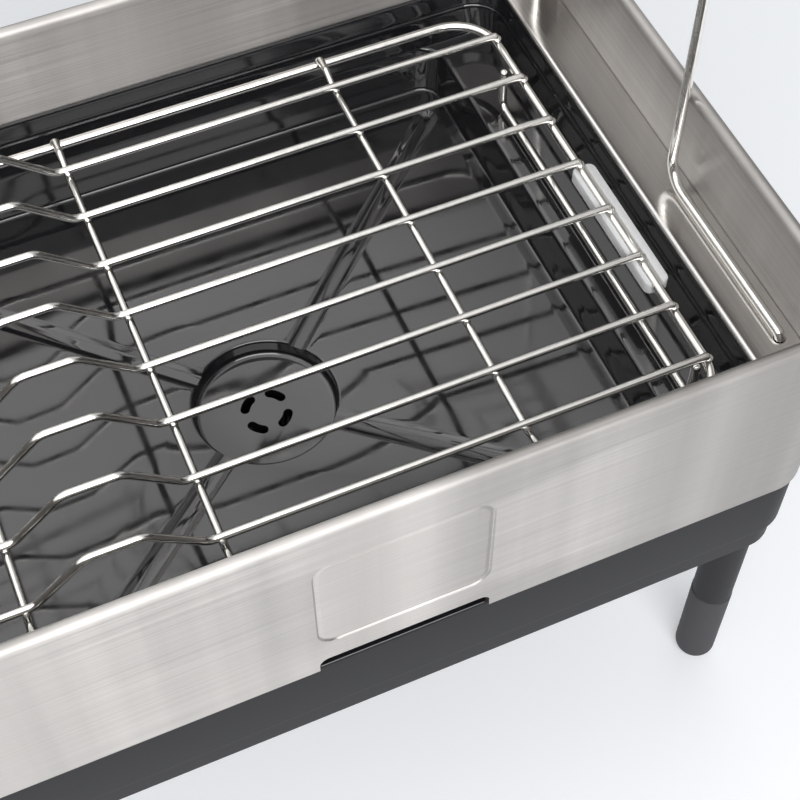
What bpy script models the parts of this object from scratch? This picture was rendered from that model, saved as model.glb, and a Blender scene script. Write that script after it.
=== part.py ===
"""Two-tier dish rack.

A drip tray sits in a plastic base frame on four legs. A steel band stands round the tray and
carries two side ledges. A wire rack lies in the tray, a wire tier stands on the ledges, and a
spout turns under the drain. The origin is on the floor under the middle of the tray, with X
along the front, Y to the back and Z up. All sizes are in metres.
"""

import math

import bmesh
import bpy
from mathutils import Quaternion
from mathutils import Vector

# Clearances and drawing steps
FIT_GAP = 0.0003
CUT_OVERRUN = 0.002
CORNER_STEPS = 8
ROUND_STEPS = 40
BEND_STEPS = 4
CURL_STEPS = 8

# Body plan: outer size of the steel band
BODY_LENGTH = 0.454
BODY_DEPTH = 0.320
BODY_CORNER = 0.022

# Heights, built up from the floor
LEG_CLEARANCE = 0.140
SKIRT_HEIGHT = 0.062
BAND_HEIGHT = 0.120
LEDGE_DROP = 0.0575
BAND_BOTTOM = LEG_CLEARANCE + SKIRT_HEIGHT
BAND_TOP = BAND_BOTTOM + BAND_HEIGHT
LEDGE_TOP = BAND_TOP - LEDGE_DROP

# Steel band
BAND_WALL = 0.001
LIP_RADIUS = 0.00325
LIP_RETURN = 0.002
HEM_WIDTH = 0.005

# Front panel and finger notch, off the middle by the same amount
PANEL_WIDTH = 0.0824
PANEL_HEIGHT = 0.070
PANEL_RISE = 0.025
PANEL_CORNER = 0.010
PANEL_DEPTH = 0.0007
PANEL_OFFSET = 0.0124
NOTCH_HEIGHT = 0.010
NOTCH_CORNER = 0.005

# Side ledges
LEDGE_WALL = 0.001
LEDGE_WIDTH = 0.0262
LEDGE_CURL = 0.002
LEDGE_INNER = BODY_LENGTH / 2 - BAND_WALL - LEDGE_WIDTH

# Base frame
SKIRT_INSET = 0.0015
SKIRT_WALL = 0.003
SKIRT_STEP_HEIGHT = 0.019
SKIRT_STEP_DEPTH = 0.0025
SKIRT_LOWER_WALL = 0.0025
SHELF_DROP = 0.0035
SHELF_WALL = 0.003
SHELF_REACH = 0.018
SHELF_TOP = BAND_BOTTOM - FIT_GAP - SHELF_DROP

# Legs and foot caps
LEG_RADIUS = 0.01085
LEG_INSET_X = 0.0235
LEG_INSET_Y = 0.018
LEG_SOCKET_DEPTH = 0.040
LEG_SPIGOT_RADIUS = 0.008
LEG_SPIGOT_LENGTH = 0.040
LEG_CHAMFER = 0.001
BOSS_WALL = 0.0025
BOSS_DROP = 0.002
CAP_RADIUS = 0.0112
CAP_HEIGHT = 0.070
CAP_ROUND = 0.0065

# Drip tray
TRAY_WALL = 0.002
TRAY_FOOT_WALL = 0.003
TRAY_FLOOR = 0.0023
TRAY_SEAT_WIDTH = 0.035
TRAY_FLOOR_CORNER = 0.012
TRAY_DRAFT = 0.0012
TRAY_EASE = 0.0005
TRAY_SEAT_RISE = 0.029
TRAY_SEAT_INSET = 0.0008
TRAY_RIM_INSET = 0.001
TRAY_STEP_DROP = 0.012
TRAY_STEP = 0.0012
TRAY_PLUG_GAP = 0.0007
DRAIN_OFFSET = 0.014
DRAIN_RADIUS = 0.036
DRAIN_DEPTH = 0.010
DRAIN_WALL = 0.003
GRATE_THICKNESS = 0.004
SPIGOT_RADIUS = 0.017
SPIGOT_WALL = 0.0025
SPIGOT_LENGTH = 0.036
SPIGOT_FLANGE = 0.007
SPIGOT_FLANGE_WALL = 0.002
SLOT_COUNT = 4
SLOT_RING_RADIUS = 0.0108
SLOT_WIDTH = 0.0042
SLOT_ANGLE = math.radians(36)
CHANNEL_WIDTH = 0.013
CHANNEL_FLAT = 0.004
CHANNEL_DEPTH = 0.0013
CHANNEL_SIDE_INSET = 0.014
CHANNEL_BACK_INSET = 0.0222
CHANNEL_FRONT_INSET = 0.0122

# Swivel spout
CUP_RADIUS = 0.025
CUP_WALL = 0.002
CUP_DEPTH = 0.0265
CUP_DROP = 0.0160
CUP_RIM_WALL = 0.0025
CHUTE_LENGTH = 0.180
CHUTE_WIDTH = 0.024
CHUTE_WALL = 0.002
CHUTE_FALL = 0.022
CHUTE_TIP_HEIGHT = 0.013
CHUTE_SHOULDER = 0.068
CHUTE_SHOULDER_RISE = 0.002
CHUTE_ROOT_DROP = 0.0065
RETAINER_WALL = 0.0042
RETAINER_HEIGHT = 0.003

# Wires
PLATE_WIRE = 0.00195
CROSS_WIRE = 0.00195
RAIL_WIRE = 0.0023
RIM_WIRE = 0.0025
BASKET_WIRE = 0.0015
THIN_RESOLUTION = 1
THICK_RESOLUTION = 2

# Lower rack
WIRE_COUNT = 8
WIRE_EDGE_GAP = 0.0223
RACK_END_GAP = 0.0163
RACK_SIDE_GAP = 0.025
RACK_CORNER = 0.025
RAIL_DROP = 0.0259
RAIL_BACK_INSET = 0.042
RAIL_BEND = 0.006
RIGHT_BAY = 0.092
LEFT_BAY = 0.0452
HUMP_PITCH = 0.0863
CROSS_RISE_START = 0.0035
CROSS_RISE_RUN = 0.010
WIRE_OVERLAP = 0.0005
HUMP_START = 0.006
HUMP_RUN = 0.025
HUMP_TOP = 0.026
HUMP_HEIGHT = 0.023
HUMP_BEND = 0.009
CLIP_LENGTH = 0.081
CLIP_CENTRE_Y = -0.0245
CLIP_OUTER_WALL = 0.0043
CLIP_INNER_WALL = 0.0025
CLIP_BOTTOM_WALL = 0.0024
CLIP_END_ROUND = 0.0035

# Upper tier
TIER_HEIGHT = 0.530
TIER_LIP_GAP = 0.0008
TIER_FRONT_INSET = 0.042
TIER_BACK_INSET = 0.026
TIER_UPRIGHT_Y = -0.0125
TIER_FOOT_BEND = 0.014
TIER_PLUG_BEND = 0.003
TIER_TOP_BEND = 0.020
TIER_PLUG_DEPTH = 0.0145
TIER_HOLE_GAP = 0.0005
TIER_RIM_DEPTH = 0.112
TIER_RIM_CORNER = 0.018
BASKET_DEPTH = 0.038
BASKET_SLOPE = 0.005
BASKET_BEND = 0.007
TIER_CROSS_COUNT = 6
TIER_CROSS_EDGE_GAP = 0.0269
TIER_FLOOR_COUNT = 5
TIER_FLOOR_PITCH = 0.017

# Colours, roughness and metallic values
STEEL = ("brushed_steel", (0.62, 0.60, 0.58, 1.0), 0.32, 1.0)
POLISHED = ("polished_wire", (0.80, 0.80, 0.79, 1.0), 0.14, 1.0)
MATTE_GREY = ("matte_grey_plastic", (0.065, 0.065, 0.070, 1.0), 0.55, 0.0)
GLOSS_BLACK = ("gloss_black_plastic", (0.012, 0.012, 0.014, 1.0), 0.10, 0.0)
FOOT_RUBBER = ("dark_rubber", (0.045, 0.045, 0.050, 1.0), 0.70, 0.0)
WHITE_PLASTIC = ("white_plastic", (0.80, 0.80, 0.80, 1.0), 0.45, 0.0)

# Places worked out from the sizes above
HALF_LENGTH = BODY_LENGTH / 2
HALF_DEPTH = BODY_DEPTH / 2
FLOOR_TOP = SHELF_TOP + FIT_GAP + TRAY_FLOOR
SEAT_TOP = FLOOR_TOP + TRAY_SEAT_RISE
TRAY_TOP = LEDGE_TOP - 2 * LEDGE_CURL - FIT_GAP
DRAIN_BOTTOM = FLOOR_TOP - DRAIN_DEPTH
BOSS_BOTTOM = DRAIN_BOTTOM - GRATE_THICKNESS
SPIGOT_BOTTOM = BOSS_BOTTOM - SPIGOT_LENGTH
RAIL_Z = SEAT_TOP + FIT_GAP + RAIL_WIRE
RACK_RIM_Z = RAIL_Z + RAIL_DROP
PLATE_WIRE_Z = RACK_RIM_Z + RIM_WIRE + FIT_GAP + PLATE_WIRE
CROSS_WIRE_Z = PLATE_WIRE_Z - PLATE_WIRE - FIT_GAP - CROSS_WIRE
TRAY_FLOOR_HALF_X = LEDGE_INNER - TRAY_SEAT_INSET - TRAY_SEAT_WIDTH
TRAY_LOWER_HALF_Y = HALF_DEPTH - HEM_WIDTH - 2 * FIT_GAP
TRAY_FLOOR_HALF_Y = TRAY_LOWER_HALF_Y - TRAY_DRAFT - TRAY_FOOT_WALL
RACK_HALF_X = LEDGE_INNER - RACK_END_GAP
RACK_HALF_Y = HALF_DEPTH - RACK_SIDE_GAP
LAST_WIRE_Y = RACK_HALF_Y - WIRE_EDGE_GAP
WIRE_PITCH = 2 * LAST_WIRE_Y / (WIRE_COUNT - 1)
RAIL_BACK_Y = RACK_HALF_Y - RAIL_BACK_INSET
CROSS_RIGHT_X = RACK_HALF_X - RIGHT_BAY
CROSS_LEFT_X = LEFT_BAY - RACK_HALF_X
CROSS_MIDDLE_X = CROSS_LEFT_X + HUMP_PITCH
LEG_X = HALF_LENGTH - LEG_INSET_X
LEG_Y = HALF_DEPTH - LEG_INSET_Y
TIER_FRAME_X = HALF_LENGTH - 2 * LIP_RADIUS - TIER_LIP_GAP - RIM_WIRE
TIER_FOOT_Z = LEDGE_TOP + FIT_GAP + RIM_WIRE
TIER_TOP_Z = TIER_HEIGHT - RIM_WIRE
TIER_RIM_HALF_X = TIER_FRAME_X - 2 * RIM_WIRE - FIT_GAP
TIER_CROSS_PITCH = 2 * (TIER_RIM_HALF_X - TIER_CROSS_EDGE_GAP) / (TIER_CROSS_COUNT - 1)
TIER_FOOT_FRONT_Y = TIER_FRONT_INSET - HALF_DEPTH
TIER_BACK_Y = HALF_DEPTH - TIER_BACK_INSET
TIER_RIM_FRONT_Y = TIER_BACK_Y - TIER_RIM_DEPTH
SIDES = (("left", -1), ("right", 1))
ENDS = (("front", -1), ("back", 1))


def clear_scene():
    """Remove every object that the scene starts with."""
    for item in list(bpy.data.objects):
        bpy.data.objects.remove(item, do_unlink=True)


def make_material(spec):
    """Return the plain material of one finish, made once."""
    name, colour, roughness, metallic = spec
    found = bpy.data.materials.get(name)
    if found:
        return found
    made = bpy.data.materials.new(name)
    made.use_nodes = True
    shader = made.node_tree.nodes["Principled BSDF"]
    shader.inputs["Base Color"].default_value = colour
    shader.inputs["Roughness"].default_value = roughness
    shader.inputs["Metallic"].default_value = metallic
    made.diffuse_color = colour
    return made


def add_empty(name, location):
    """Add the empty that carries one moving group, on its joint's axis."""
    empty = bpy.data.objects.new(name, None)
    empty.location = location
    bpy.context.collection.objects.link(empty)
    return empty


def add_object(name, data, spec, location=(0, 0, 0), parent=None, turn=0.0):
    """Link data as one named piece with its finish, placed under its parent."""
    item = bpy.data.objects.new(name, data)
    bpy.context.collection.objects.link(item)
    if not data.materials:
        data.materials.append(make_material(spec))
    item.parent = parent
    base = parent.location if parent else Vector((0, 0, 0))
    item.location = Vector(location) - base
    item.rotation_euler[2] = turn
    return item


def mesh_from(name, verts, faces, smooth_angle=None):
    """Build a mesh with outward faces, smooth up to the given angle."""
    mesh = bpy.data.meshes.new(name)
    mesh.from_pydata(verts, [], faces)
    shape = bmesh.new()
    shape.from_mesh(mesh)
    bmesh.ops.recalc_face_normals(shape, faces=shape.faces)
    shape.to_mesh(mesh)
    shape.free()
    if smooth_angle:
        mesh.shade_smooth()
        mesh.set_sharp_from_angle(angle=smooth_angle)
    return mesh


def rounded_rectangle(half_x, half_y, radius, steps=CORNER_STEPS):
    """Corner points of a rounded rectangle, anticlockwise."""
    points = []
    for quarter, (sx, sy) in enumerate(((1, 1), (-1, 1), (-1, -1), (1, -1))):
        centre_x = sx * (half_x - radius)
        centre_y = sy * (half_y - radius)
        for step in range(steps + 1):
            angle = (quarter + step / steps) * math.pi / 2
            points.append((centre_x + radius * math.cos(angle), centre_y + radius * math.sin(angle)))
    return points


def bridge_rings(rings, count, closed):
    """Faces between rings of the same number of points, capped unless closed."""
    faces = []
    pairs = len(rings) if closed else len(rings) - 1
    for ring in range(pairs):
        here = ring * count
        there = (ring + 1) % len(rings) * count
        for point in range(count):
            after = (point + 1) % count
            faces.append((here + point, here + after, there + after, there + point))
    if not closed:
        faces.append(tuple(range(count)))
        last = (len(rings) - 1) * count
        faces.append(tuple(range(last, last + count)))
    return faces


def plan_loft(name, sections, closed=False):
    """Solid through rounded rectangles, each given as half x, half y, corner radius and height."""
    verts = []
    for half_x, half_y, radius, height in sections:
        verts += [(x, y, height) for x, y in rounded_rectangle(half_x, half_y, radius)]
    count = len(verts) // len(sections)
    return mesh_from(name, verts, bridge_rings(sections, count, closed), math.radians(35))


def band_loft(name, profile):
    """Solid whose profile, in offset from the body plan and height, runs round the plan."""
    sections = []
    for offset, height in profile:
        sections.append((HALF_LENGTH + offset, HALF_DEPTH + offset, BODY_CORNER + offset, height))
    return plan_loft(name, sections, closed=True)


def turned(name, profile, closed=True, steps=ROUND_STEPS):
    """Solid of revolution about Z; a profile that is not closed starts and ends on the axis."""
    rings = profile if closed else profile[1:-1]
    verts = []
    for radius, height in rings:
        for step in range(steps):
            angle = 2 * math.pi * step / steps
            verts.append((radius * math.cos(angle), radius * math.sin(angle), height))
    return mesh_from(name, verts, bridge_rings(rings, steps, closed), math.radians(35))


def stacked(name, sections, axis="Y"):
    """Solid through outlines at levels along Y (outlines in X and Z) or along Z (in X and Y)."""
    verts = []
    for level, outline in sections:
        for first, second in outline:
            verts.append((first, level, second) if axis == "Y" else (first, second, level))
    faces = bridge_rings(sections, len(sections[0][1]), False)
    return mesh_from(name, verts, faces, math.radians(35))


def prism(name, outline, low, high, axis="Y"):
    """One outline extruded between two levels."""
    return stacked(name, ((low, outline), (high, outline)), axis)


def arc(centre, radius, start, end, steps):
    """Points of an arc in two coordinates, with both ends."""
    points = []
    for step in range(steps + 1):
        angle = start + (end - start) * step / steps
        points.append((centre[0] + radius * math.cos(angle), centre[1] + radius * math.sin(angle)))
    return points


def bent_path(corners, radii):
    """Centre line of a bent wire: straight runs joined by arcs at the inner corners."""
    points = [Vector(corners[0])]
    for index in range(1, len(corners) - 1):
        corner = Vector(corners[index])
        inward = (corner - Vector(corners[index - 1])).normalized()
        outward = (Vector(corners[index + 1]) - corner).normalized()
        turn = inward.angle(outward)
        radius = radii[index - 1]
        reach = radius * math.tan(turn / 2)
        start = corner - inward * reach
        middle = corner + (outward - inward).normalized() * (radius / math.cos(turn / 2))
        axis = inward.cross(outward).normalized()
        for step in range(BEND_STEPS + 1):
            swing = Quaternion(axis, turn * step / BEND_STEPS)
            points.append(middle + swing @ (start - middle))
    points.append(Vector(corners[-1]))
    return points


def wire_data(name, points, radius, resolution, closed=False):
    """Round wire along the points, with filled ends unless it is a closed ring."""
    data = bpy.data.curves.new(name, "CURVE")
    data.dimensions = "3D"
    data.bevel_depth = radius
    data.bevel_resolution = resolution
    data.use_fill_caps = not closed
    spline = data.splines.new("POLY")
    spline.points.add(len(points) - 1)
    for slot, point in zip(spline.points, points):
        slot.co = (point[0], point[1], point[2], 1)
    spline.use_cyclic_u = closed
    return data


def shape_with(target, tool_mesh, operation, location=(0, 0, 0), turn=0.0):
    """Cut, join or intersect a piece with a tool that stays hidden beside it."""
    tool = bpy.data.objects.new(f"{target.name}_tool", tool_mesh)
    bpy.context.collection.objects.link(tool)
    tool.location = location
    tool.rotation_euler[2] = turn
    tool.hide_render = True
    tool.display_type = "WIRE"
    step = target.modifiers.new(operation.lower(), "BOOLEAN")
    step.operation = operation
    step.solver = "EXACT"
    step.object = tool


def steel_band():
    """Band round the tray: rolled lip, bottom hem, front panel recess and finger notch."""
    lip_level = BAND_TOP - LIP_RADIUS
    outer = arc((-LIP_RADIUS, lip_level), LIP_RADIUS, 0, math.pi, CURL_STEPS)
    inner = arc((-LIP_RADIUS, lip_level), LIP_RADIUS - BAND_WALL, math.pi, 0, CURL_STEPS)
    tip = -2 * LIP_RADIUS
    profile = [(0, BAND_BOTTOM)] + outer
    profile += [(tip, lip_level - LIP_RETURN), (tip + BAND_WALL, lip_level - LIP_RETURN)]
    profile += inner
    profile += [(-BAND_WALL, BAND_BOTTOM + BAND_WALL), (-HEM_WIDTH, BAND_BOTTOM + BAND_WALL)]
    profile += [(-HEM_WIDTH, BAND_BOTTOM)]
    band = add_object("steel_band", band_loft("steel_band", profile), STEEL)

    front = -HALF_DEPTH
    half_width = PANEL_WIDTH / 2
    panel = rounded_rectangle(half_width, PANEL_HEIGHT / 2, PANEL_CORNER)
    panel_mesh = prism("panel_recess", panel, front - CUT_OVERRUN, front + PANEL_DEPTH)
    panel_z = BAND_BOTTOM + PANEL_RISE + PANEL_HEIGHT / 2
    shape_with(band, panel_mesh, "DIFFERENCE", (PANEL_OFFSET, 0, panel_z))

    notch = rounded_rectangle(half_width, NOTCH_HEIGHT, NOTCH_CORNER, BEND_STEPS)
    notch_mesh = prism("notch", notch, front - CUT_OVERRUN, front + HEM_WIDTH + CUT_OVERRUN)
    shape_with(band, notch_mesh, "DIFFERENCE", (PANEL_OFFSET, 0, BAND_BOTTOM))


def tier_hole_places():
    """Plan positions, on the right side, of the holes that take the tier's feet."""
    return ((TIER_FRAME_X, TIER_FOOT_FRONT_Y), (TIER_FRAME_X, TIER_BACK_Y))


def side_ledges():
    """Steel ledge inside each end of the band, with a curled inner edge and two foot holes."""
    curl_x = LEDGE_INNER + LEDGE_CURL
    curl_z = LEDGE_TOP - LEDGE_CURL
    outer_x = HALF_LENGTH - BAND_WALL - FIT_GAP
    up = math.pi / 2
    down = 3 * math.pi / 2
    outline = [(outer_x, LEDGE_TOP)]
    outline += arc((curl_x, curl_z), LEDGE_CURL, up, down, CURL_STEPS)
    outline += arc((curl_x, curl_z), LEDGE_CURL - LEDGE_WALL, down, up, CURL_STEPS)
    outline += [(outer_x, LEDGE_TOP - LEDGE_WALL)]
    inset = BAND_WALL + FIT_GAP
    limit = (HALF_LENGTH - inset, HALF_DEPTH - inset, BODY_CORNER - inset)
    low = LEDGE_TOP - 2 * LEDGE_CURL - CUT_OVERRUN
    high = LEDGE_TOP + CUT_OVERRUN
    hole_radius = RIM_WIRE + TIER_HOLE_GAP
    for side, sign in SIDES:
        drawn = [(sign * x, z) for x, z in outline]
        sheet = prism(f"{side}_ledge", drawn, -HALF_DEPTH, HALF_DEPTH)
        ledge = add_object(f"{side}_ledge", sheet, STEEL)
        plan = plan_loft("ledge_plan", (limit + (low,), limit + (high,)))
        shape_with(ledge, plan, "INTERSECT")
        for hole_x, hole_y in tier_hole_places():
            drill = turned("ledge_hole", ((0, low), (hole_radius, low), (hole_radius, high), (0, high)),
                           closed=False, steps=ROUND_STEPS // 2)
            shape_with(ledge, drill, "DIFFERENCE", (sign * hole_x, hole_y, 0))


def base_frame():
    """Stepped skirt with an inner shelf for the tray and a socket in each corner for a leg."""
    top = BAND_BOTTOM - FIT_GAP
    outer = -SKIRT_INSET
    lower = outer - SKIRT_STEP_DEPTH
    step = LEG_CLEARANCE + SKIRT_STEP_HEIGHT
    inner = lower - SKIRT_LOWER_WALL
    profile = [(outer, top), (outer, step), (lower, step - SKIRT_STEP_DEPTH), (lower, LEG_CLEARANCE),
               (inner, LEG_CLEARANCE), (inner, SHELF_TOP - SHELF_WALL),
               (-SHELF_REACH, SHELF_TOP - SHELF_WALL), (-SHELF_REACH, SHELF_TOP),
               (outer - SKIRT_WALL, SHELF_TOP), (outer - SKIRT_WALL, top)]
    frame = add_object("base_frame", band_loft("base_frame", profile), MATTE_GREY)
    bore = LEG_RADIUS + FIT_GAP
    boss = bore + BOSS_WALL
    low = LEG_CLEARANCE + BOSS_DROP
    high = SHELF_TOP - SHELF_WALL / 2
    bore_top = LEG_CLEARANCE + LEG_SOCKET_DEPTH
    for side, sign_x in SIDES:
        for end, sign_y in ENDS:
            place = (sign_x * LEG_X, sign_y * LEG_Y, 0)
            tube = turned("leg_boss", ((0, low), (boss, low), (boss, high), (0, high)), closed=False)
            shape_with(frame, tube, "UNION", place)
            hole = turned("leg_bore", ((0, low - CUT_OVERRUN), (bore, low - CUT_OVERRUN),
                                       (bore, bore_top), (0, bore_top)), closed=False)
            shape_with(frame, hole, "DIFFERENCE", place)


def legs_and_caps():
    """Four legs plugged into the base, each with a rounded rubber cap on its lower end."""
    leg_top = LEG_CLEARANCE + LEG_SOCKET_DEPTH - FIT_GAP
    shoulder = CAP_HEIGHT + FIT_GAP
    spigot_end = shoulder - LEG_SPIGOT_LENGTH
    leg_profile = [(0, spigot_end), (LEG_SPIGOT_RADIUS - LEG_CHAMFER, spigot_end),
                   (LEG_SPIGOT_RADIUS, spigot_end + LEG_CHAMFER), (LEG_SPIGOT_RADIUS, shoulder),
                   (LEG_RADIUS, shoulder), (LEG_RADIUS, leg_top - LEG_CHAMFER),
                   (LEG_RADIUS - LEG_CHAMFER, leg_top), (0, leg_top)]
    cap_bore = LEG_SPIGOT_RADIUS + FIT_GAP
    sole = arc((CAP_RADIUS - CAP_ROUND, CAP_ROUND), CAP_ROUND, -math.pi / 2, 0, BEND_STEPS)
    cap_profile = [(0, 0)] + sole + [(CAP_RADIUS, CAP_HEIGHT), (cap_bore, CAP_HEIGHT),
                                     (cap_bore, spigot_end - FIT_GAP), (0, spigot_end - FIT_GAP)]
    leg_mesh = turned("leg", leg_profile, closed=False, steps=ROUND_STEPS * 3 // 5)
    cap_mesh = turned("foot_cap", cap_profile, closed=False, steps=ROUND_STEPS * 3 // 5)
    for side, sign_x in SIDES:
        for end, sign_y in ENDS:
            place = (sign_x * LEG_X, sign_y * LEG_Y, 0)
            add_object(f"leg_{end}_{side}", leg_mesh, MATTE_GREY, place)
            add_object(f"foot_cap_{end}_{side}", cap_mesh, FOOT_RUBBER, place)


def tray_sections():
    """Rounded rectangles up the tray's outside, over its rim and down its inside."""
    wall, foot, corner, draft = TRAY_WALL, TRAY_FOOT_WALL, TRAY_FLOOR_CORNER, TRAY_DRAFT
    lower_y = TRAY_LOWER_HALF_Y
    rim_y = HALF_DEPTH - BAND_WALL - 2 * FIT_GAP
    rim_x = LEDGE_INNER + TRAY_RIM_INSET
    seat_x = LEDGE_INNER - TRAY_SEAT_INSET
    flange_x = TIER_FRAME_X - RIM_WIRE - TRAY_PLUG_GAP
    rim_corner = BODY_CORNER - BAND_WALL - 2 * FIT_GAP
    floor_y = TRAY_FLOOR_HALF_Y
    step_x = rim_x - TRAY_STEP
    step_y = rim_y - wall - TRAY_STEP
    step_top = TRAY_TOP - TRAY_STEP_DROP
    step_low = step_top - TRAY_STEP
    floor_x = TRAY_FLOOR_HALF_X
    return (
        (floor_x + foot, floor_y + foot, corner + foot, FLOOR_TOP - TRAY_FLOOR),
        (floor_x + foot + draft, lower_y - TRAY_EASE, corner + foot, SEAT_TOP - wall),
        (seat_x + wall, lower_y, corner + foot + draft, SEAT_TOP - wall),
        (step_x + wall, step_y + wall, rim_corner - TRAY_STEP, step_low - wall / 2),
        (rim_x + wall, rim_y - TRAY_EASE, rim_corner, step_top - wall / 2),
        (rim_x + wall, rim_y - TRAY_EASE, rim_corner, TRAY_TOP - wall),
        (flange_x, rim_y, rim_corner, TRAY_TOP - wall),
        (flange_x, rim_y, rim_corner, TRAY_TOP),
        (rim_x, rim_y - wall, rim_corner - wall, TRAY_TOP),
        (rim_x, rim_y - wall, rim_corner - wall, step_top),
        (step_x, step_y, rim_corner - wall - TRAY_STEP, step_low),
        (seat_x, lower_y - wall, corner + draft, SEAT_TOP),
        (floor_x + draft, lower_y - wall - TRAY_EASE, corner, SEAT_TOP),
        (floor_x, floor_y, corner, FLOOR_TOP),
    )


def slot_outline():
    """Plan outline of one curved drain slot with round ends, lying across the X axis."""
    half = SLOT_ANGLE / 2
    round_end = SLOT_WIDTH / 2
    ring = SLOT_RING_RADIUS
    turn = math.pi
    outline = arc((0, 0), ring + round_end, -half, half, BEND_STEPS)
    head = (ring * math.cos(half), ring * math.sin(half))
    outline += arc(head, round_end, half, half + turn, BEND_STEPS)[1:-1]
    outline += arc((0, 0), ring - round_end, half, -half, BEND_STEPS)
    tail = (ring * math.cos(half), -ring * math.sin(half))
    return outline + arc(tail, round_end, turn - half, 2 * turn - half, BEND_STEPS)[1:-1]


def channel_tool(end_x, end_y):
    """Cutter for a channel with sloping sides, from the drain to a place given from its centre."""
    length = math.hypot(end_x, end_y)
    angle = math.atan2(end_y, end_x)
    start = DRAIN_RADIUS - DRAIN_WALL
    slope = (CHANNEL_WIDTH - CHANNEL_FLAT) / 2 / CHANNEL_DEPTH
    sections = []
    for rise in (-CHANNEL_DEPTH, FIT_GAP):
        half = CHANNEL_WIDTH / 2 + slope * rise
        outline = [(start, -half)] + arc((length, 0), half, -math.pi / 2, math.pi / 2, BEND_STEPS)
        outline += [(start, half)]
        turned_outline = [(x * math.cos(angle) - y * math.sin(angle),
                           x * math.sin(angle) + y * math.cos(angle)) for x, y in outline]
        sections.append((FLOOR_TOP + rise, turned_outline))
    return stacked("channel", sections, axis="Z")


def drip_tray():
    """Glossy tray: well, end seats, channels and a round recess with a slotted floor."""
    tray = add_object("drip_tray", plan_loft("drip_tray", tray_sections()), GLOSS_BLACK)
    drain = (0, -DRAIN_OFFSET, 0)

    boss = DRAIN_RADIUS + DRAIN_WALL
    joined_top = FLOOR_TOP - TRAY_FLOOR / 2
    boss_mesh = turned("drain_boss", ((0, BOSS_BOTTOM), (boss, BOSS_BOTTOM), (boss, joined_top),
                                      (0, joined_top)), closed=False)
    shape_with(tray, boss_mesh, "UNION", drain)

    over = FLOOR_TOP + CUT_OVERRUN
    recess = turned("drain_recess", ((0, DRAIN_BOTTOM), (DRAIN_RADIUS, DRAIN_BOTTOM),
                                     (DRAIN_RADIUS, over), (0, over)), closed=False)
    shape_with(tray, recess, "DIFFERENCE", drain)
    slot_mesh = prism("drain_slot", slot_outline(), BOSS_BOTTOM - CUT_OVERRUN,
                      DRAIN_BOTTOM + CUT_OVERRUN, axis="Z")
    for slot in range(SLOT_COUNT):
        turn = 2 * math.pi * (slot + 0.5) / SLOT_COUNT
        shape_with(tray, slot_mesh, "DIFFERENCE", drain, turn)

    end_x = TRAY_FLOOR_HALF_X - CHANNEL_SIDE_INSET
    back_y = TRAY_FLOOR_HALF_Y - CHANNEL_BACK_INSET + DRAIN_OFFSET
    front_y = CHANNEL_FRONT_INSET - TRAY_FLOOR_HALF_Y + DRAIN_OFFSET
    for _, sign in SIDES:
        for end_y in (front_y, back_y):
            shape_with(tray, channel_tool(sign * end_x, end_y), "DIFFERENCE", drain)


def drain_spigot():
    """Outlet tube under the drain, with a flange against the tray's underside."""
    bore = SPIGOT_RADIUS - SPIGOT_WALL
    top = BOSS_BOTTOM - FIT_GAP
    flange = SPIGOT_RADIUS + SPIGOT_FLANGE
    under = top - SPIGOT_FLANGE_WALL
    profile = ((bore, SPIGOT_BOTTOM), (SPIGOT_RADIUS, SPIGOT_BOTTOM), (SPIGOT_RADIUS, under),
               (flange, under), (flange, top), (bore, top))
    add_object("drain_spigot", turned("drain_spigot", profile), GLOSS_BLACK, (0, -DRAIN_OFFSET, 0))


def spout_levels():
    """Height of the spout cup's rim and of its underside."""
    rim = BOSS_BOTTOM - CUP_DROP
    return rim, rim - CUP_DEPTH


def spout_retainer():
    """Ring on the tray's spigot that the spout's cup hangs on."""
    rim, _ = spout_levels()
    top = rim - CUP_RIM_WALL - FIT_GAP
    inner = SPIGOT_RADIUS + FIT_GAP
    outer = inner + RETAINER_WALL
    low = top - RETAINER_HEIGHT
    profile = ((inner, top), (inner, low), (outer, low), (outer, top))
    add_object("spout_retainer", turned("spout_retainer", profile), MATTE_GREY, (0, -DRAIN_OFFSET, 0))


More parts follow.
